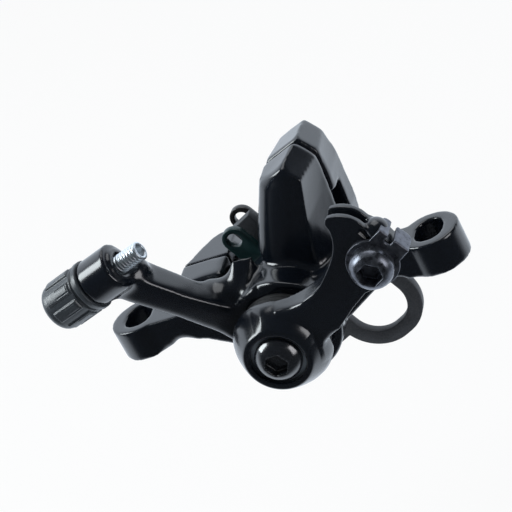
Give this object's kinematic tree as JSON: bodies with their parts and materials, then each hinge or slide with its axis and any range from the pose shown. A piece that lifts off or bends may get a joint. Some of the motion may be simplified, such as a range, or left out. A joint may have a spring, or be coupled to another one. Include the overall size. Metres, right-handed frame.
{
  "type": "bicycle disc brake caliper",
  "caption": "Mechanical disc brake caliper for a post mount, with a cable arm, a ball ramp, a barrel adjuster and pads round a rotor slot.",
  "frame": {"origin": "midway between the two mount holes, on the plane that the mount ears sit on", "axes": "+X along the two mount holes, +Y inboard along the piston axis and away from the arm, +Z away from the wheel's axle, out of the mount"},
  "size_m": [0.09, 0.0513, 0.0598],
  "materials": {
    "cast_black": "gloss black paint on cast metal",
    "arm_black": "gloss black paint",
    "black_oxide": "black oxide, slightly mottled",
    "bright_zinc": "bright zinc",
    "bare_steel": "ground steel",
    "ball_steel": "polished",
    "spring_steel": "spring steel",
    "bronze": "plain bearing bronze",
    "plug_metal": "dark anodised",
    "grip_plastic": "matte black",
    "spacer_plastic": "matte charcoal, fine speckle",
    "cage_plastic": "natural nylon",
    "green_plate": "dark green coat",
    "brown_plate": "dark brown coat",
    "friction": "resin friction material",
    "seal_rubber": "matte rubber"
  },
  "bodies": {
    "root": {"outboard_body": "cast_black", "inboard_body": "cast_black", "body_bolts": "black_oxide", "dust_seal": "seal_rubber", "shaft_bushing": "bronze", "fixed_ramp": "bare_steel", "pad_spring": "spring_steel"},
    "foot": {"pressure_foot": "bare_steel", "outboard_pad_plate": "green_plate", "outboard_pad_lining": "friction"},
    "actuator": {"actuator_arm": "arm_black", "pivot_bolt": "black_oxide", "arm_washer": "bright_zinc", "cable_clamp_bolt": "black_oxide", "cable_clamp_plate": "black_oxide", "return_spring": "spring_steel", "ramp_shaft": "bare_steel"},
    "ball_race": {"ball_cage": "cage_plastic", "ramp_balls": "ball_steel"},
    "carrier": {"pad_carrier": "bare_steel", "inboard_pad_plate": "brown_plate", "inboard_pad_lining": "friction"},
    "adjuster": {"pad_adjuster": "plug_metal", "adjuster_ring": "seal_rubber"},
    "barrel_spring": {"barrel_spring": "spring_steel"},
    "barrel": {"barrel_screw": "bright_zinc", "barrel_knob": "grip_plastic"},
    "spacer": {"pad_spacer": "spacer_plastic"}
  },
  "joints": [
    {"name": "pad_travel", "type": "slide", "parent": "root", "child": "foot", "axis": [0, 1, 0], "range_m": [0, 0.001]},
    {"name": "arm_swing", "type": "hinge", "parent": "foot", "child": "actuator", "pos_m": [0, 0, -0.0004], "axis": [0, -1, 0], "range_deg": [0, 45], "stiffness_Nm_per_rad": 0.1, "springref_deg": -28.65},
    {"name": "cage_turn", "type": "hinge", "parent": "root", "child": "ball_race", "pos_m": [0, 0, -0.0004], "axis": [0, -1, 0], "range_deg": [0, 22.5]},
    {"name": "adjuster_turn", "type": "hinge", "parent": "carrier", "child": "adjuster", "pos_m": [0, 0, -0.0004], "axis": [0, -1, 0], "range_deg": [0, 360]},
    {"name": "carrier_advance", "type": "slide", "parent": "root", "child": "carrier", "axis": [0, -1, 0], "range_m": [0, 0.001]},
    {"name": "barrel_turn", "type": "hinge", "parent": "root", "child": "barrel_spring", "pos_m": [-0.0292, -0.0175, 0.0301], "axis": [-0.9542, 0, -0.299], "range_deg": [0, 2160]},
    {"name": "barrel_advance", "type": "slide", "parent": "barrel_spring", "child": "barrel", "axis": [-0.9542, 0, -0.299], "range_m": [0, 0.0048]},
    {"name": "spacer_out", "type": "slide", "parent": "root", "child": "spacer", "axis": [0.4226, 0, -0.9063], "range_m": [0, 0.045]}
  ],
  "couplings": [
    {"joint": "arm_swing", "follows": "pad_travel", "rad_per_m": 785.4},
    {"joint": "cage_turn", "follows": "pad_travel", "rad_per_m": 392.7},
    {"joint": "adjuster_turn", "follows": "carrier_advance", "rad_per_m": 6283.2},
    {"joint": "barrel_turn", "follows": "barrel_advance", "rad_per_m": 7854}
  ]
}
